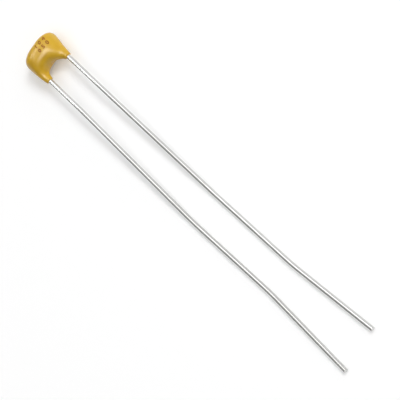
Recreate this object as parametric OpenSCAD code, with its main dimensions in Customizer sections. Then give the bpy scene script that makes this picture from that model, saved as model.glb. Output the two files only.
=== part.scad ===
// Small radial capacitor: a ceramic chip between two wires, dipped in epoxy.
// It lies on one broad face. X runs along the wires towards their tips, Y across them, Z up.
// The origin is the middle of the footprint, on the surface that the part lies on.
// Sizes are in millimetres.

/* [Coat] */
// Width of the pillow across the wires, at its middle
coat_w = 3.3; // [3.24:0.02:3.6]
// Length of the pillow along the wires, at its middle
coat_l = 2.07; // [2.02:0.01:2.4]
// Thickness of the pillow
coat_t = 2.22; // [2.12:0.01:2.6]
// How much wider the far end is than the middle, as a share of the width
coat_taper = 0.08; // [0.04:0.01:0.12]
// How far the pillow's far end strays sideways
coat_lean = 0.12; // [0:0.01:0.16]
// Squareness of the pillow seen from above, where 2 is an ellipse
coat_square = 2.9; // [2.7:0.1:3.6]
// Fullness of the pillow's edge seen from the side, where 2 is an ellipse
coat_full = 2.2; // [2:0.1:2.6]
// Tightness of the blend of pillow and legs, where more gives a sharper crease
coat_blend = 4.4; // [3.8:0.1:5.4]

/* [Arch and legs of the coat] */
// How strongly the pillow's front is drawn up into an arch, per square millimetre of half width
arch_bow = 0.77; // [0.5:0.01:0.9]
// How far the arch lies to the left of the middle
arch_off = 0.22; // [0:0.01:0.24]
// Radius of the skin of coat on the wire at the end of a leg
leg_r = 0.28; // [0.26:0.01:0.32]
// Radius to which a leg widens at the pillow's middle
leg_root = 0.3; // [0.26:0.01:0.4]
// How far the legs' tips reach past the middle of the pillow's front
leg_reach = 0.89; // [0.75:0.01:1]
// Length of the rounded lip that ends a leg
leg_lip = 0.3; // [0.2:0.02:0.4]

/* [Chip] */
// Thickness of coat between the chip and the pillow's far end
chip_inset = 0.54; // [0.52:0.01:0.6]
// Size of the chip along the wires
chip_w = 1.2; // [0.9:0.05:1.3]
// Thickness of the chip
chip_t = 1; // [0.7:0.05:1.15]
// Radius of the chip's long edges
chip_edge_r = 0.1; // [0.05:0.01:0.2]
// Width of the metal band that each end cap folds onto the chip's faces
cap_band = 0.4; // [0.25:0.05:0.6]
// Thickness of the end caps' metal
cap_t = 0.05; // [0.03:0.01:0.07]
// Film of solder between an end cap and its wire
solder_film = 0.02; // [0.01:0.01:0.04]
// Half the height of a solder fillet on its end cap
solder_rise = 0.36; // [0.26:0.02:0.38]

/* [Wires] */
// Distance between the wires' axes where they leave the coat
pitch = 2.54; // [2.46:0.02:2.6]
// Diameter of the wires
wire_d = 0.41; // [0.36:0.01:0.45]
// Radius of the wires' gentle bends
bend_r = 25; // [10:1:28]
// Where a wire first bends, measured from the legs' tips
knee_x = 4; // [3:0.1:6]
// Where a wire comes down to the surface
touch_x = 17; // [15:0.2:20]
// Where a wire's last, straight stretch begins
splay_x = 25.8; // [24:0.2:28]
// Where the left wire is cut off
left_tip_x = 34.5; // [31:0.1:38]
// Where the right wire is cut off
right_tip_x = 34.1; // [31:0.1:38]
// How far the left wire has strayed outwards where it comes down
left_touch_out = 0.54; // [0:0.02:0.8]
// How far the left wire has strayed outwards where its last stretch begins
left_splay_out = 0.32; // [0:0.02:0.8]
// How far the left wire's tip has strayed outwards
left_tip_out = 0.64; // [0.4:0.02:1.2]
// How far the right wire has strayed outwards where it comes down
right_touch_out = -0.18; // [-0.3:0.02:0.4]
// How far the right wire has strayed outwards where its last stretch begins
right_splay_out = 0; // [-0.2:0.02:0.5]
// How far the right wire's tip has strayed outwards
right_tip_out = 0.68; // [0.3:0.02:1.2]

/* [Hidden] */

// Facets of round things that are kept exact
round_fn = 48;
// Slices across the coat, and points round each slice, both even
slices = 72;
ring = 64;
// Halvings used to find the coat's skin
halvings = 17;
// A bend is a hair thicker than the straights, which run into it by a short lap
bend_swell = 0.004;
bend_lap = 0.05;
// Length of wire end that the solder leaves bare at each end of a joint
solder_short = 0.1;

LEFT = -1;
RIGHT = 1;
wire_r = wire_d / 2;
coat_half_l = coat_l / 2;
coat_end = -leg_reach;
coat_mid = coat_end - coat_half_l;
coat_far = coat_end - coat_l;
chip_mid = coat_far + chip_inset + chip_w / 2;
chip_l = pitch - wire_d - 2 * (cap_t + solder_film);
wire_start_x = chip_mid - chip_w / 2 + solder_short / 2;

function clamp01(t) = max(0, min(1, t));
function unit(v) = v / norm(v);

// Share of the middle width at a place along the pillow
function fan(x) = 1 - coat_taper * (x - coat_mid) / coat_half_l;

// How far the pillow's middle line strays sideways there
function lean(x) = coat_lean * (coat_mid - x) / coat_half_l;

// Length from the pillow's middle to its front or far end, longer towards the legs
function half_at(p) =
    p.x < coat_mid ? coat_half_l : coat_half_l + arch_bow * (p.y + arch_off) * (p.y + arch_off);

// How far out a point is: 1 on the pillow's own surface, less inside it
function pillow_out(p) =
    let (u = abs(p.x - coat_mid) / half_at(p))
    let (v = abs(p.y - lean(p.x)) / (coat_w / 2 * fan(p.x)))
    let (w = abs(p.z) / (coat_t / 2))
    let (outline = pow(pow(u, coat_square) + pow(v, coat_square), coat_full / coat_square))
    pow(outline + pow(w, coat_full), 1 / coat_full);

// Radius of the skin on a wire: it ends in a rounded lip, widens towards the pillow's middle and dies out behind it
function skin_r(x) =
    let (lip = clamp01((x + leg_lip) / leg_lip))
    let (back = clamp01((coat_mid - x) / coat_half_l))
    let (cone = leg_r + (leg_root - leg_r) * clamp01(x / coat_mid))
    cone * sqrt((1 - lip * lip) * (1 - back * back));

// How far out a point is from the skin on one wire
function leg_out(p, side) =
    norm([p.y - side * pitch / 2, p.z]) / max(0.000001, skin_r(p.x));

// The wet coat settles where the pillow and the skin on each wire together just hold it
function in_coat(p) =
    let (legs = pow(leg_out(p, LEFT), -coat_blend) + pow(leg_out(p, RIGHT), -coat_blend))
    pow(pillow_out(p), -coat_blend) + legs >= 1;

// Distance from a point inside the coat to its skin, found by halving
function skin_at(from, way, near, far, left) =
    let (half = (near + far) / 2)
    left == 0 ? half :
    in_coat(from + half * way) ? skin_at(from, way, half, far, left - 1) :
    skin_at(from, way, near, half, left - 1);

coat_side = skin_at([coat_mid, 0, 0], [0, 1, 0], 0, coat_w, halvings);

// Slices lie across Y, closer together towards the two sides
function slice_y(i) = coat_side * sin(90 * (2 * i / slices - 1));

// One slice: points round the coat's skin, from the lead end over the top and back underneath
function slice_points(y) =
    let (drift = (y * coat_taper + coat_lean) / coat_half_l)
    let (front = skin_at([coat_mid, y, 0], [1, 0, 0], 0, coat_l, halvings))
    let (back = skin_at([coat_mid, y, 0], [-1, drift, 0], 0, coat_l, halvings))
    [for (j = [0 : ring - 1])
        let (turn = 360 * j / ring)
        let (x = coat_mid + (front - back) / 2 + (front + back) / 2 * cos(turn))
        let (at = [x, x > coat_mid ? y : y * fan(x) + lean(x), 0])
        let (ends = j == 0 || j == ring / 2)
        let (rise = ends ? 0 : skin_at(at, [0, 0, 1], 0, coat_t, halvings))
        at + [0, 0, sin(turn) < 0 ? -rise : rise]];

coat_rings = [for (i = [1 : slices - 1]) slice_points(slice_y(i))];
coat_points = concat([[coat_mid, -coat_side, 0]], [for (r = coat_rings) each r], [[coat_mid, coat_side, 0]]);

// Number of a point in the list, by slice and place
function nth(i, j) = 1 + (i - 1) * ring + j % ring;

coat_faces = concat(
    [for (j = [0 : ring - 1]) [0, nth(1, j + 1), nth(1, j)]],
    [for (i = [1 : slices - 2], j = [0 : ring - 1]) [nth(i, j), nth(i, j + 1), nth(i + 1, j + 1)]],
    [for (i = [1 : slices - 2], j = [0 : ring - 1]) [nth(i, j), nth(i + 1, j + 1), nth(i + 1, j)]],
    [for (j = [0 : ring - 1]) [nth(slices - 1, j), nth(slices - 1, j + 1), len(coat_points) - 1]]);

// The coat's lowest point rests on the surface, and the wires leave it at half its height
mid_z = max([for (p = coat_points) p.z]);
rest_z = wire_r + bend_swell;

// Places that a wire passes through, from its end inside the coat to its tip
function wire_places(side, touch_out, splay_out, tip_x, tip_out) =
    let (y = side * pitch / 2)
    [[wire_start_x, y, mid_z],
     [knee_x, y, mid_z],
     [touch_x, y + side * touch_out, rest_z],
     [splay_x, y + side * splay_out, rest_z],
     [tip_x, y + side * tip_out, rest_z]];

left_places = wire_places(LEFT, left_touch_out, left_splay_out, left_tip_x, left_tip_out);
right_places = wire_places(RIGHT, right_touch_out, right_splay_out, right_tip_x, right_tip_out);

// Half sizes of the square-cut end of a wire, seen from above
function last_way(places) = unit(places[4] - places[3]);
function tip_reach_x(places) = places[4].x + wire_r * abs(last_way(places).y);
function tip_reach_y(places) = abs(places[4].y) + wire_r * abs(last_way(places).x);

coat_left = min([for (p = coat_points) p.y]);
coat_right = max([for (p = coat_points) p.y]);
min_x = min([for (p = coat_points) p.x]);
max_x = max(tip_reach_x(left_places), tip_reach_x(right_places));
min_y = min(coat_left, -tip_reach_y(left_places));
max_y = max(coat_right, tip_reach_y(right_places));
footprint_mid = [(min_x + max_x) / 2, (min_y + max_y) / 2, 0];

// Moves what is built from the legs' tips into the part's own frame
module placed() {
    translate(-footprint_mid) children();
}

// Rectangle with round corners
module round_rect(w, h, r) {
    square([w - 2 * r, h], center = true);
    square([w, h - 2 * r], center = true);
    for (sx = [-1, 1], sy = [-1, 1])
        translate([sx * (w / 2 - r), sy * (h / 2 - r)])
            circle(r, $fn = round_fn);
}

// Block across the wires between two places on Y, with its long edges rounded
module cross_block(from_y, to_y, grow) {
    translate([chip_mid, to_y, mid_z])
        rotate([90, 0, 0])
            linear_extrude(to_y - from_y)
                round_rect(chip_w + 2 * grow, chip_t + 2 * grow, chip_edge_r + grow);
}

// Straight round rod between two places
module rod(from, to) {
    way = unit(to - from);
    translate(from)
        rotate([0, acos(way.z), atan2(way.y, way.x)])
            cylinder(h = norm(to - from), r = wire_r, $fn = round_fn);
}

// Length that a bend takes from each of the two straights that it joins
function bend_take(a, b, c) = bend_r * tan(acos(unit(b - a) * unit(c - b)) / 2);

// Round bend at the middle one of three places
module bend(a, b, c) {
    way_in = unit(b - a);
    way_out = unit(c - b);
    turn = acos(way_in * way_out);
    hub = b + unit(way_out - way_in) * bend_r / cos(turn / 2);
    start = b - way_in * bend_take(a, b, c);
    spoke = unit(start - hub);
    hinge = cross(spoke, way_in);
    multmatrix([[spoke.x, way_in.x, hinge.x, hub.x],
                [spoke.y, way_in.y, hinge.y, hub.y],
                [spoke.z, way_in.z, hinge.z, hub.z],
                [0, 0, 0, 1]])
        rotate_extrude(angle = turn, $fn = round_fn)
            translate([bend_r, 0])
                circle(wire_r + bend_swell, $fn = round_fn);
}

// Length of a straight given up to the bend at place i, less the lap that joins the two
function take_at(places, i) =
    i == 0 || i == len(places) - 1 ? 0 : bend_take(places[i - 1], places[i], places[i + 1]) - bend_lap;

// One straight of a wire, shortened by the bends at its ends
module straight(places, i) {
    way = unit(places[i + 1] - places[i]);
    rod(places[i] + way * take_at(places, i), places[i + 1] - way * take_at(places, i + 1));
}

module wire(places) {
    for (i = [0 : len(places) - 2])
        straight(places, i);
    for (i = [1 : len(places) - 2])
        bend(places[i - 1], places[i], places[i + 1]);
}

// Cap's outer form: the end of the chip grown by the metal's thickness
module cap_form(side) {
    outer = chip_l / 2 + cap_t;
    inner = chip_l / 2 - cap_band;
    cross_block(side < 0 ? -outer : inner, side < 0 ? -inner : outer, cap_t);
}

// Wedge of solder from the cap's face in to the wire's axis, before the wire is taken out
module solder_form(side) {
    face = chip_l / 2 + cap_t;
    length = chip_w - solder_short;
    translate([chip_mid - length / 2, 0, mid_z])
        rotate([90, 0, 90])
            linear_extrude(length)
                polygon([[side * face, -solder_rise],
                         [side * face, solder_rise],
                         [side * pitch / 2, wire_r / 2],
                         [side * pitch / 2, -wire_r / 2]]);
}

module epoxy_coating() {
    color("goldenrod")
        placed()
            difference() {
                translate([0, 0, mid_z])
                    polyhedron(coat_points, coat_faces);
                cross_block(-chip_l / 2, chip_l / 2, 0);
                cap_form(LEFT);
                cap_form(RIGHT);
                solder_form(LEFT);
                solder_form(RIGHT);
                straight(left_places, 0);
                straight(right_places, 0);
            }
}

module ceramic_chip() {
    color("wheat")
        placed()
            cross_block(-chip_l / 2, chip_l / 2, 0);
}

module end_termination(side) {
    color("silver")
        placed()
            difference() {
                cap_form(side);
                cross_block(-chip_l / 2, chip_l / 2, 0);
            }
}

module solder_joint(side, places) {
    color("lightgray")
        placed()
            difference() {
                solder_form(side);
                straight(places, 0);
            }
}

module lead(places) {
    color("gainsboro")
        placed()
            wire(places);
}

module end_termination_left() {
    end_termination(LEFT);
}

module end_termination_right() {
    end_termination(RIGHT);
}

module solder_joint_left() {
    solder_joint(LEFT, left_places);
}

module solder_joint_right() {
    solder_joint(RIGHT, right_places);
}

module lead_left() {
    lead(left_places);
}

module lead_right() {
    lead(right_places);
}

epoxy_coating();
ceramic_chip();
end_termination_left();
end_termination_right();
solder_joint_left();
solder_joint_right();
lead_left();
lead_right();
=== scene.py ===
# %% [markdown]
# A small dipped ceramic capacitor lies on a white table. It is made of very little: a ceramic chip
# between two tinned wires, and a coat of glossy epoxy that the whole end was dipped in. This lesson
# dresses the exact solids of that part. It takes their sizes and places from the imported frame, makes a
# finer coat and rounder wires with mesh operators, and gives each surface a finish made of shader
# nodes.

# %% Load the frame and keep its box
from math import acos, cos, pi, radians, sin, tan

import bmesh
import bpy
import numpy as np
from mathutils import Matrix, Quaternion, Vector, noise


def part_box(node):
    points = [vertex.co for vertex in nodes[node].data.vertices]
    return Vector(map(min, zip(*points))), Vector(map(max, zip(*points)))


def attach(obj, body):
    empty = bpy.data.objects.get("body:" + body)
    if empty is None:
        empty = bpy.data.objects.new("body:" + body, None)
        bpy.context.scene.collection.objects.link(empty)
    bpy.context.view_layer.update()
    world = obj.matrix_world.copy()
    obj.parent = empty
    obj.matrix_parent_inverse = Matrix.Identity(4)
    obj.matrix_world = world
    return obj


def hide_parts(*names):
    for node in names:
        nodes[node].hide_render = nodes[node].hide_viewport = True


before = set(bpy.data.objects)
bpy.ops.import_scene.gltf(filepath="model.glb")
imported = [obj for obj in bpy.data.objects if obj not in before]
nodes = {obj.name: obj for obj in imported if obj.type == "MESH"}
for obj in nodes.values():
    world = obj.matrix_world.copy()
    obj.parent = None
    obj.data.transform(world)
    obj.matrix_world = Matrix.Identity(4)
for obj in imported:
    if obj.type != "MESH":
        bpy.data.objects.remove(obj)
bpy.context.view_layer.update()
MM = 0.001
print("nodes:", ", ".join(sorted(nodes)))

# %% [markdown]
# The camera comes first, because everything is judged through it. The part was photographed from well
# above, with the wires running away to the lower right, so the camera is also rolled about its own line
# of sight. A long lens from about 20 cm keeps the two wires nearly parallel. The camera could be turned
# by a constraint, but a direction and a roll are plainer to read and to change.

# %% Camera
camera_aim = Vector((0.509, -0.179, 0.0)) * MM
camera_distance = 194.3 * MM
camera_elevation = radians(62.6)
camera_azimuth = radians(35.76)
camera_roll = radians(85.36)
camera_lens_mm = 222.5
camera_clip_start = 10 * MM


def direction(azimuth, elevation):
    """Unit vector towards an azimuth, counted from +X towards +Y, and an elevation."""
    flat = cos(elevation)
    return Vector((flat * cos(azimuth), flat * sin(azimuth), sin(elevation)))


camera = bpy.data.objects.new("camera", bpy.data.cameras.new("camera"))
bpy.context.scene.collection.objects.link(camera)
towards_camera = direction(camera_azimuth, camera_elevation)
camera.location = camera_aim + towards_camera * camera_distance
camera.rotation_mode = "QUATERNION"
camera.rotation_quaternion = towards_camera.to_track_quat("Z", "Y") @ Quaternion((0, 0, 1), -camera_roll)
camera.data.lens = camera_lens_mm
camera.data.clip_start = camera_clip_start
bpy.context.scene.camera = camera
bpy.context.scene.view_settings.view_transform = "Standard"
print("camera stands at", [round(c / MM, 1) for c in camera.location], "mm")

# %% [markdown]
# The light is that of a small table studio. One lamp could light it all, but glossy epoxy and bright
# tin are read by what they mirror, and the table by what falls on it, so each lamp here has one job.
# The key lamp at the right throws the soft shadow to the left of the wires, and a wide fill lamp
# overhead keeps that shadow pale. Neither is mirrored. The softbox and the two cards are only mirrored.
# The softbox is the pale patch on the coat's crest, the flank card is the paler zone at the left of it,
# and the wire card is the bright line along each wire.

# %% Lamps
lamp_distance = 450 * MM
softbox_way = direction(radians(0), radians(80))
softbox_size = 275 * MM
softbox_glow = 7.3
wire_card_way = direction(radians(144), radians(62))
wire_card_size = 220 * MM
wire_card_glow = 1.2
flank_card_way = direction(radians(206), radians(44))
flank_card_size = 180 * MM
flank_card_glow = 5.2
key_way = direction(radians(95), radians(49))
key_size = 150 * MM
key_glow = 11.0
fill_way = direction(radians(-60), radians(80))
fill_size = 420 * MM
fill_glow = 0.6


def area_lamp(name, way, size, glow, mirrored):
    """Square lamp that faces the part. It is either only mirrored, or it only lights what it faces."""
    lamp = bpy.data.lights.new(name, "AREA")
    lamp.size = size
    # A lamp's power is its glow times pi times its area
    lamp.energy = glow * pi * size * size
    lamp_object = bpy.data.objects.new(name, lamp)
    lamp_object.location = way * lamp_distance
    lamp_object.rotation_mode = "QUATERNION"
    lamp_object.rotation_quaternion = way.to_track_quat("Z", "Y")
    lamp_object.visible_camera = False
    lamp_object.visible_glossy = mirrored
    lamp_object.visible_diffuse = not mirrored
    bpy.context.scene.collection.objects.link(lamp_object)
    print(name, "gives", round(lamp.energy, 3), "W")


area_lamp("softbox", softbox_way, softbox_size, softbox_glow, mirrored=True)
area_lamp("wire card", wire_card_way, wire_card_size, wire_card_glow, mirrored=True)
area_lamp("flank card", flank_card_way, flank_card_size, flank_card_glow, mirrored=True)
area_lamp("key lamp", key_way, key_size, key_glow, mirrored=False)
area_lamp("fill lamp", fill_way, fill_size, fill_glow, mirrored=False)

# %% [markdown]
# The room around the table is dimmer on the left than on the right. A picture of a real room could
# surround the part, but a plain fade between two levels is enough: it draws a dark line along each
# bright wire.

# %% Room
room_bright_way = direction(radians(110), radians(45))
room_dim_glow = 0.2
room_bright_glow = 0.8
room_dim_at = -0.1
room_bright_at = 0.87

world = bpy.data.worlds.new("studio room")
world.use_nodes = True
bpy.context.scene.world = world
room = world.node_tree
room_way = room.nodes.new("ShaderNodeTexCoord")
room_along = room.nodes.new("ShaderNodeVectorMath")
room_along.operation = "DOT_PRODUCT"
room_along.inputs[1].default_value = room_bright_way
room_fade = room.nodes.new("ShaderNodeMapRange")
room_fade.inputs["From Min"].default_value = room_dim_at
room_fade.inputs["From Max"].default_value = room_bright_at
room_fade.inputs["To Min"].default_value = room_dim_glow
room_fade.inputs["To Max"].default_value = room_bright_glow
room.links.new(room_way.outputs["Generated"], room_along.inputs[0])
room.links.new(room_along.outputs["Value"], room_fade.inputs["Value"])
room.links.new(room_fade.outputs["Result"], room.nodes["Background"].inputs["Strength"])
room.nodes["Background"].inputs["Color"].default_value = (1, 1, 1, 1)
print("room glows from", room_dim_glow, "to", room_bright_glow)

# %% [markdown]
# Every finish on the part is uneven in two ways: broad clouds, where the coat or the plating is a
# little thicker, and a fine grain. Both could be pictures, but noise needs no file and shows no seam.
# One node group makes it for all the materials: it takes the two sizes in metres and puts out two
# masks, which each material then uses for its own colour, roughness and bump.

# %% Node group: clouds and grain
cloud_detail = 2.0
grain_detail = 4.0


def add_node(tree, kind, **settings):
    """New shader node with some of its settings."""
    node = tree.nodes.new(kind)
    for key, value in settings.items():
        setattr(node, key, value)
    return node


def make_uneven_group():
    """Group with a broad and a fine noise mask over Object coordinates."""
    group = bpy.data.node_groups.new("clouds and grain", "ShaderNodeTree")
    sockets = group.interface
    sockets.new_socket("Place", in_out="INPUT", socket_type="NodeSocketVector")
    for name in ("Cloud Size", "Grain Size"):
        sockets.new_socket(name, in_out="INPUT", socket_type="NodeSocketFloat")
    for name in ("Clouds", "Grain"):
        sockets.new_socket(name, in_out="OUTPUT", socket_type="NodeSocketFloat")
    inlet = add_node(group, "NodeGroupInput")
    outlet = add_node(group, "NodeGroupOutput")
    layers = (("Cloud Size", "Clouds", cloud_detail), ("Grain Size", "Grain", grain_detail))
    for size, mask, detail in layers:
        scale = add_node(group, "ShaderNodeMath", operation="DIVIDE")
        scale.inputs[0].default_value = 1.0
        texture = add_node(group, "ShaderNodeTexNoise")
        texture.inputs["Detail"].default_value = detail
        group.links.new(inlet.outputs[size], scale.inputs[1])
        group.links.new(inlet.outputs["Place"], texture.inputs["Vector"])
        group.links.new(scale.outputs["Value"], texture.inputs["Scale"])
        group.links.new(texture.outputs["Fac"], outlet.inputs[mask])
    return group


uneven_group = make_uneven_group()
print("group sockets:", [item.name for item in uneven_group.interface.items_tree])

# %% [markdown]
# A finish is then a material with that group in it. This helper lays out the part that all finishes
# share: the coordinates, the group, a colour that drifts between two tones with the clouds, a roughness
# that drifts with the grain, and a bump from the grain. Each material could be drawn by hand instead,
# but then a change to one would leave the others behind. What is the same all over a surface, such as a
# clear layer, is set straight on the shader.

# %% Helper: uneven finish
noise_low = 0.3
noise_high = 0.7
print("noise is read between", noise_low, "and", noise_high)


def ramp_value(tree, source, low, high):
    """Map a mask to a range of values. Noise stays near its middle, so the range is taken from there."""
    span = add_node(tree, "ShaderNodeMapRange")
    span.inputs["From Min"].default_value = noise_low
    span.inputs["From Max"].default_value = noise_high
    span.inputs["To Min"].default_value = low
    span.inputs["To Max"].default_value = high
    tree.links.new(source, span.inputs["Value"])
    return span.outputs["Result"]


def mix_colour(tree, factor, first, second):
    """Colour between two others. The node's colour sockets are inputs 6 and 7 and output 2."""
    mix = add_node(tree, "ShaderNodeMix", data_type="RGBA")
    tree.links.new(factor, mix.inputs["Factor"])
    mix.inputs[6].default_value = (*first, 1.0)
    mix.inputs[7].default_value = (*second, 1.0)
    return mix.outputs[2]


def uneven_finish(name, tones, clouds_mm, grain_mm, roughness, bump_mm, stretch=(1, 1, 1)):
    """Material whose colour follows the clouds, and whose roughness and bump follow the grain."""
    material = bpy.data.materials.new(name)
    material.use_nodes = True
    tree = material.node_tree
    shader = tree.nodes["Principled BSDF"]
    place = add_node(tree, "ShaderNodeTexCoord")
    turn = add_node(tree, "ShaderNodeMapping")
    turn.inputs["Scale"].default_value = stretch
    masks = add_node(tree, "ShaderNodeGroup", node_tree=uneven_group)
    masks.inputs["Cloud Size"].default_value = clouds_mm * MM
    masks.inputs["Grain Size"].default_value = grain_mm * MM
    bump = add_node(tree, "ShaderNodeBump")
    bump.inputs["Distance"].default_value = bump_mm * MM
    links = tree.links
    links.new(place.outputs["Object"], turn.inputs["Vector"])
    links.new(turn.outputs["Vector"], masks.inputs["Place"])
    factor = ramp_value(tree, masks.outputs["Clouds"], 0.0, 1.0)
    links.new(mix_colour(tree, factor, *tones), shader.inputs["Base Color"])
    links.new(ramp_value(tree, masks.outputs["Grain"], *roughness), shader.inputs["Roughness"])
    links.new(masks.outputs["Grain"], bump.inputs["Height"])
    links.new(bump.outputs["Normal"], shader.inputs["Normal"])
    return material


# %% [markdown]
# The coat is what makes this part: a pillow of epoxy that ran down the wires while it was wet, so it
# ends in two short legs with a round arch between them. Pulling such a skin out of boxes would never
# look wet. The form is written as a formula instead. A pillow, whose front is drawn up into an arch at
# the wires' level and runs straighter across at its top, blends with a cone of skin on each wire. The
# chip in the middle of the coat gives its place.

# %% Coat: form of the wet epoxy
# Sizes are in millimetres. Square, full, blend and fade are powers.
# Taper, bow and tail are rates and shares.
coat_width = 3.3
coat_length = 2.07
coat_thickness = 2.22
coat_taper = 0.08
coat_lean = 0.12
coat_square = 2.9
coat_full = 2.5
coat_blend = 3.8
arch_bow = 0.77
arch_off = 0.22
arch_fade = 1.0
leg_radius = 0.26
leg_root = 0.34
leg_reach = 0.89
leg_lip = 0.22
leg_overrun = 0.1
leg_tail = 0.82
wire_pitch = 2.54
coat_half = coat_length / 2
coat_middle = -leg_reach - coat_half
chip_behind = 1.82
chip_low, chip_high = (Vector(corner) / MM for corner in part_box("ceramic_chip"))
legs_tip = (chip_low + chip_high) / 2 + Vector((chip_behind, 0, 0))
tiny = 1e-9
halvings = 30
print("legs' tips at", [round(c, 4) for c in legs_tip], "mm")


def fan(x):
    """Share of the middle width at a place along the pillow."""
    return 1 - coat_taper * (x - coat_middle) / coat_half


def lean(x):
    """How far the pillow's middle line strays sideways at a place along it."""
    return coat_lean * (coat_middle - x) / coat_half


def in_coat(x, y, z):
    """True where the point lies in the coat. In millimetres from the legs' tips, on the wires' level."""
    up = np.abs(z) / (coat_thickness / 2)
    bow = arch_bow * (y + arch_off) ** 2 * (1 - np.clip(up, 0, 1) ** arch_fade)
    along = np.abs(x - coat_middle) / np.where(x < coat_middle, coat_half, coat_half + bow)
    across = np.abs(y - lean(x)) / (coat_width / 2 * fan(x))
    outline = (along**coat_square + across**coat_square) ** (coat_full / coat_square)
    held = (outline + up**coat_full) ** (-coat_blend / coat_full)
    lip = np.clip((x - leg_overrun + leg_lip) / leg_lip, 0, 1)
    back = np.clip((coat_middle - x) / (coat_half * leg_tail), 0, 1)
    cone = leg_radius + (leg_root - leg_radius) * np.clip(x / coat_middle, 0, 1)
    skin = cone * np.sqrt((1 - lip**2) * (1 - back**2))
    for side in (-1, 1):
        off_axis = np.maximum(tiny, np.hypot(y - side * wire_pitch / 2, z))
        held = held + (skin / off_axis) ** coat_blend
    return held >= 1


def skin_reach(point, way, longest):
    """Distance from points inside the coat to its skin along a way, found by halving."""
    near = np.zeros_like(point[0])
    far = np.full_like(point[0], longest)
    for _ in range(halvings):
        half = (near + far) / 2
        inside = in_coat(*(start + half * step for start, step in zip(point, way)))
        near = np.where(inside, half, near)
        far = np.where(inside, far, half)
    return near


# %% [markdown]
# A sphere is now pushed onto that skin. Its poles lie at the coat's two flanks, so its rings are slices
# that stand side by side across the wires. Metaballs blend in a like way, but give no hold on the exact
# form, and a sphere keeps its faces even and closed. Last, the skin sinks here and there by a hundredth
# of a millimetre, as a dipped coat does.

# %% Coat: a sphere pushed onto the skin
coat_ring = 144
coat_slices = 160
dip_unevenness = 0.012
dip_wave = 0.9
level_digits = 9


def coat_skin(unit):
    """Places on the skin for the vertices of a unit sphere whose poles lie across the wires."""
    level = np.zeros(1)
    side = skin_reach((level + coat_middle, level, level), (0, 1, 0), coat_width)[0]
    y = unit[:, 2] * side
    flat = np.zeros_like(y)
    drift = (y * coat_taper + coat_lean) / coat_half
    start = (flat + coat_middle, y, flat)
    front = skin_reach(start, (1, 0, 0), coat_length)
    back = skin_reach(start, (-1, drift, 0), coat_length)
    around = np.arctan2(unit[:, 1], unit[:, 0])
    x = coat_middle + (front - back) / 2 + (front + back) / 2 * np.cos(around)
    y = np.where(x > coat_middle, y, y * fan(x) + lean(x))
    z = skin_reach((x, y, flat), (0, 0, 1), coat_thickness)
    return np.stack([x, y, np.sign(np.round(np.sin(around), level_digits)) * z], axis=1)


def new_piece(name, build, material):
    """Object at the origin with the mesh that a bmesh holds, its faces smooth."""
    mesh = bpy.data.meshes.new(name)
    build.to_mesh(mesh)
    build.free()
    mesh.shade_smooth()
    mesh.materials.append(material)
    piece = bpy.data.objects.new(name, mesh)
    bpy.context.scene.collection.objects.link(piece)
    print(name, "has", len(mesh.vertices), "vertices")
    return piece


def make_coat(material):
    """The dipped coat, set around the solid chip."""
    build = bmesh.new()
    bmesh.ops.create_uvsphere(build, u_segments=coat_ring, v_segments=coat_slices, radius=1)
    unit = np.array([v.co for v in build.verts])
    middle = Vector((coat_middle, 0, 0))
    for vertex, place in zip(build.verts, coat_skin(unit)):
        sag = dip_unevenness * (noise.noise(Vector(place) / dip_wave) - 1) / 2
        vertex.co = middle + (Vector(place) - middle) * (1 + sag / coat_half)
    bmesh.ops.recalc_face_normals(build, faces=build.faces)
    bmesh.ops.scale(build, vec=Vector((MM, MM, MM)), verts=build.verts)
    bmesh.ops.translate(build, vec=legs_tip * MM, verts=build.verts)
    return new_piece("coat", build, material)


# %% [markdown]
# Dipping epoxy dries to a soft gloss: a strong colour under a pale, blurred reflection. A painted
# highlight would stay put when the part is turned, so the gloss is left to the shader, with a thin
# clear layer for the sharper glint. The two mustard tones drift into each other, because the coat isn't
# equally thick everywhere.

# %% Coat: glossy mustard epoxy
mustard = (0.64, 0.385, 0.012)
mustard_deep = (0.58, 0.33, 0.006)
epoxy_ior = 1.48
clear_layer = 0.15
clear_roughness = 0.12
coat_finish = uneven_finish(
    "glossy epoxy", (mustard, mustard_deep), clouds_mm=0.7, grain_mm=0.16,
    roughness=(0.3, 0.38), bump_mm=0.004,
)
coat_shader = coat_finish.node_tree.nodes["Principled BSDF"]
coat_shader.inputs["IOR"].default_value = epoxy_ior
coat_shader.inputs["Coat Weight"].default_value = clear_layer
coat_shader.inputs["Coat Roughness"].default_value = clear_roughness
coat = make_coat(coat_finish)

# %% [markdown]
# Each lead is one piece of tinned copper wire, straight as it came off the reel apart from a few gentle
# bends. A curve with a round bevel would do, but its ends can't be dressed. So a circle of edges is
# carried along the wire: extruded down the straights and spun round the bends. The cut end gets a small
# bevel, as the cutter leaves it.

# %% Leads: places that each wire passes through
bend_radius = 25.0
rest_level = 0.209
wire_start = -2.37
knee_x = 4
touch_x = 17
splay_x = 25.8
left_route = {"side": -1, "touch_out": 0.54, "splay_out": 0.32, "tip_x": 34.5, "tip_out": 0.64}
right_route = {"side": 1, "touch_out": -0.18, "splay_out": 0.0, "tip_x": 34.1, "tip_out": 0.68}


def wire_places(side, touch_out, splay_out, tip_x, tip_out):
    """Corners of a wire's route in the frame, in millimetres."""
    y = side * wire_pitch / 2
    down = rest_level - legs_tip.z
    corners = [
        (wire_start, y, 0),
        (knee_x, y, 0),
        (touch_x, y + side * touch_out, down),
        (splay_x, y + side * splay_out, down),
        (tip_x, y + side * tip_out, down),
    ]
    return [legs_tip + Vector(corner) for corner in corners]


left_places = wire_places(**left_route)
right_places = wire_places(**right_route)
for route_name, places in (("left", left_places), ("right", right_places)):
    print(route_name, "wire ends at", [round(c, 2) for c in places[-1]], "mm")

# %% Leads: a circle carried along the wire
wire_radius = 0.205
wire_sides = 40
bend_steps = 8
tip_bevel = 0.035
tip_steps = 3
merge_within = tip_bevel / 1000


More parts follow.
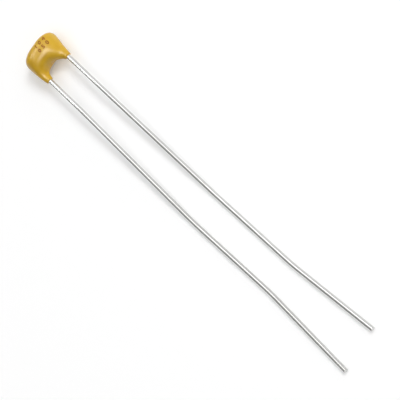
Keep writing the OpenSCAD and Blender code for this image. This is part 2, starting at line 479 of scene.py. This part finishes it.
def ring_parts(geometry):
    """Vertices and edges among what an operator returned."""
    verts = [g for g in geometry if isinstance(g, bmesh.types.BMVert)]
    edges = [g for g in geometry if isinstance(g, bmesh.types.BMEdge)]
    return verts, edges


def carry_straight(build, edges, way, length):
    """Extrude a ring of edges along a straight."""
    made = bmesh.ops.extrude_edge_only(build, edges=edges)["geom"]
    verts, edges = ring_parts(made)
    bmesh.ops.translate(build, vec=way * length, verts=verts)
    return [e for e in edges if all(v in verts for v in e.verts)]


def carry_bend(build, edges, corner, way_in, way_out):
    """Spin a ring of edges round a bend."""
    turn = acos(way_in.dot(way_out))
    hub = corner + (way_out - way_in).normalized() * bend_radius / cos(turn / 2)
    hinge = way_in.cross(way_out).normalized()
    verts = list({v for e in edges for v in e.verts})
    made = bmesh.ops.spin(build, geom=verts + edges, cent=hub, axis=hinge, angle=turn, steps=bend_steps)
    return ring_parts(made["geom_last"])[1]


def make_wire(name, places, material):
    """One lead from its end inside the coat to its cut tip."""
    ways = [(b - a).normalized() for a, b in zip(places, places[1:])]
    takes = [bend_radius * tan(acos(a.dot(b)) / 2) for a, b in zip(ways, ways[1:])]
    starts = [0.0] + takes
    ends = takes + [0.0]
    build = bmesh.new()
    turn = ways[0].to_track_quat("Z", "Y").to_matrix().to_4x4()
    at_start = Matrix.Translation(places[0]) @ turn
    bmesh.ops.create_circle(build, segments=wire_sides, radius=wire_radius, cap_ends=True, matrix=at_start)
    edges = list(build.edges)
    for edge in edges:
        edge.smooth = False
    for i, way in enumerate(ways):
        length = (places[i + 1] - places[i]).length - starts[i] - ends[i]
        edges = carry_straight(build, edges, way, length)
        if i < len(ways) - 1:
            edges = carry_bend(build, edges, places[i + 1], way, ways[i + 1])
    bmesh.ops.contextual_create(build, geom=edges)
    bmesh.ops.bevel(
        build, geom=edges, offset=tip_bevel, affect="EDGES", segments=tip_steps, profile=0.5, material=-1
    )
    bmesh.ops.remove_doubles(build, verts=build.verts, dist=merge_within)
    bmesh.ops.recalc_face_normals(build, faces=build.faces)
    bmesh.ops.scale(build, vec=Vector((MM, MM, MM)), verts=build.verts)
    return new_piece(name, build, material)


# %% [markdown]
# Tin plate is bright, but no mirror: the die that the wire was drawn through leaves faint marks along
# it. Fine grooves of mesh would be lost at this size, so the noise is stretched along the wires and
# roughens the plate in streaks.

# %% Leads: bright tin plate
tin = (0.74, 0.74, 0.73)
tin_dull = (0.64, 0.64, 0.625)
drawn_along = (0.02, 1, 1)
tin_finish = uneven_finish(
    "tin plate", (tin, tin_dull), clouds_mm=0.5, grain_mm=0.03,
    roughness=(0.10, 0.20), bump_mm=0.0006, stretch=drawn_along,
)
tin_finish.node_tree.nodes["Principled BSDF"].inputs["Metallic"].default_value = 1.0
wire_left = make_wire("wire_left", left_places, tin_finish)
wire_right = make_wire("wire_right", right_places, tin_finish)

# %% [markdown]
# A printed value code sits on the coat's upper face, in two short rows of brown ink. It could be a
# picture on the coat, but letters of mesh need no file and stay sharp up close. A text object is made
# into a mesh, cut fine, and laid onto the same skin formula, a few thousandths of a millimetre proud,
# as ink is.

# %% Value code: text made into a mesh
code_text = "104\n050"
code_size = 0.46
code_spread = 1.9
code_line_gap = 1.05
code_stroke = 0.024
slab_half = 0.5


def text_mesh(text):
    """Mesh of the text lying flat, about its own middle, as a slab one unit thick."""
    curve = bpy.data.curves.new("value code", "FONT")
    curve.body = text
    curve.size = code_size
    curve.space_line = code_line_gap
    curve.space_character = code_spread
    curve.offset = code_stroke
    curve.align_x = "CENTER"
    curve.align_y = "CENTER"
    curve.extrude = slab_half
    holder = bpy.data.objects.new("value code", curve)
    bpy.context.scene.collection.objects.link(holder)
    bpy.context.view_layer.update()
    mesh = bpy.data.meshes.new_from_object(holder)
    bpy.data.objects.remove(holder)
    return mesh


code_mesh = text_mesh(code_text)
print("text mesh has", len(code_mesh.polygons), "faces")

# %% Value code: ink laid onto the coat
code_middle = (-2.06, 0.72)
code_edge = 0.03
code_merge = code_edge / 100
code_cuts = 4
ink_proud = 0.004
ink_sunk = 4 * ink_proud
ink_gloss = 0.15
ink_brown = (0.29, 0.10, 0.012)
ink_faded = (0.42, 0.19, 0.02)


def make_code(material):
    """The value code, read with the leads towards the reader."""
    build = bmesh.new()
    build.from_mesh(code_mesh)
    bmesh.ops.remove_doubles(build, verts=build.verts, dist=code_merge)
    bmesh.ops.triangulate(build, faces=build.faces)
    for _ in range(code_cuts):
        flat = [e for e in build.edges if abs(e.verts[0].co.z - e.verts[1].co.z) < slab_half]
        long = [e for e in flat if e.calc_length() > code_edge]
        bmesh.ops.subdivide_edges(build, edges=long, cuts=1)
        bmesh.ops.triangulate(build, faces=build.faces)
    bmesh.ops.rotate(build, cent=Vector(), matrix=Matrix.Rotation(pi / 2, 3, "Z"), verts=build.verts)
    slab = np.array([v.co for v in build.verts])
    x = slab[:, 0] + code_middle[0]
    y = slab[:, 1] + code_middle[1]
    height = skin_reach((x, y, np.zeros_like(x)), (0, 0, 1), coat_thickness)
    for i, vertex in enumerate(build.verts):
        lift = ink_proud if vertex.co.z > 0 else -ink_sunk
        vertex.co = (legs_tip + Vector((x[i], y[i], height[i] + lift))) * MM
    bmesh.ops.recalc_face_normals(build, faces=build.faces)
    return new_piece("value_code", build, material)


ink_finish = uneven_finish(
    "brown ink", (ink_brown, ink_faded), clouds_mm=0.12, grain_mm=0.05,
    roughness=(0.3, 0.5), bump_mm=0.002,
)
ink_finish.node_tree.nodes["Principled BSDF"].inputs["Specular IOR Level"].default_value = ink_gloss
value_code = make_code(ink_finish)

# %% [markdown]
# Inside the coat the solids keep their exact shapes: the fired chip, its two metal caps and the solder.
# They could be left bare, since nobody sees them from outside, but whoever cuts the part open does, so
# each gets its own finish.

# %% Finishes of the inner pieces
ceramic = (0.50, 0.40, 0.30)
ceramic_dark = (0.40, 0.31, 0.23)
silver = (0.72, 0.71, 0.67)
silver_dull = (0.60, 0.59, 0.56)
solder = (0.60, 0.60, 0.60)
solder_dull = (0.48, 0.48, 0.49)
ceramic_finish = uneven_finish(
    "fired ceramic", (ceramic, ceramic_dark), clouds_mm=0.25, grain_mm=0.02,
    roughness=(0.5, 0.7), bump_mm=0.004,
)
cap_finish = uneven_finish(
    "fired silver", (silver, silver_dull), clouds_mm=0.2, grain_mm=0.03,
    roughness=(0.3, 0.5), bump_mm=0.003,
)
solder_finish = uneven_finish(
    "solder", (solder, solder_dull), clouds_mm=0.15, grain_mm=0.04,
    roughness=(0.25, 0.4), bump_mm=0.003,
)
inner_finishes = {
    "ceramic_chip": ceramic_finish,
    "end_termination_left": cap_finish,
    "end_termination_right": cap_finish,
    "solder_joint_left": solder_finish,
    "solder_joint_right": solder_finish,
}
for metal in (cap_finish, solder_finish):
    metal.node_tree.nodes["Principled BSDF"].inputs["Metallic"].default_value = 1.0
for name, finish in inner_finishes.items():
    nodes[name].data.materials.clear()
    nodes[name].data.materials.append(finish)
print("inner pieces dressed:", len(inner_finishes))

# %% [markdown]
# The table is a plain white sheet. It has to look pure white where light falls on it and still keep the
# shadow. Far stronger lamps would whiten it, but would bleach the coat too, so the sheet glows a
# little, for the camera and for mirrored rays only. It lights nothing by that.

# %% Table
table_radius = 600 * MM
table_white = (0.88, 0.88, 0.88)
table_glow = 0.16
table_sides = 96
table_roughness = 0.9


def make_table():
    """Round white sheet under the part."""
    build = bmesh.new()
    bmesh.ops.create_circle(build, segments=table_sides, radius=table_radius, cap_ends=True)
    finish = bpy.data.materials.new("white sheet")
    finish.use_nodes = True
    tree = finish.node_tree
    shader = tree.nodes["Principled BSDF"]
    shader.inputs["Base Color"].default_value = (*table_white, 1.0)
    shader.inputs["Roughness"].default_value = table_roughness
    shader.inputs["Specular IOR Level"].default_value = 0.0
    shader.inputs["Emission Color"].default_value = (1, 1, 1, 1)
    path = add_node(tree, "ShaderNodeLightPath")
    seen = path.outputs["Is Camera Ray"]
    for ray in ("Is Glossy Ray", "Is Transmission Ray"):
        either = add_node(tree, "ShaderNodeMath", operation="MAXIMUM")
        tree.links.new(seen, either.inputs[0])
        tree.links.new(path.outputs[ray], either.inputs[1])
        seen = either.outputs["Value"]
    glow = add_node(tree, "ShaderNodeMath", operation="MULTIPLY")
    glow.inputs[1].default_value = table_glow
    tree.links.new(seen, glow.inputs[0])
    tree.links.new(glow.outputs["Value"], shader.inputs["Emission Strength"])
    return new_piece("table", build, finish)


table = make_table()

# %% [markdown]
# Last, the new pieces are tied to the part. All of them ride on its only body, and the solids
# that the coat and the wires take the place of are hidden.

# %% Tie the pieces to the part and finish
for piece in (coat, wire_left, wire_right, value_code):
    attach(piece, "root")
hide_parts("epoxy_coating")
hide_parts("lead_left")
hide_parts("lead_right")
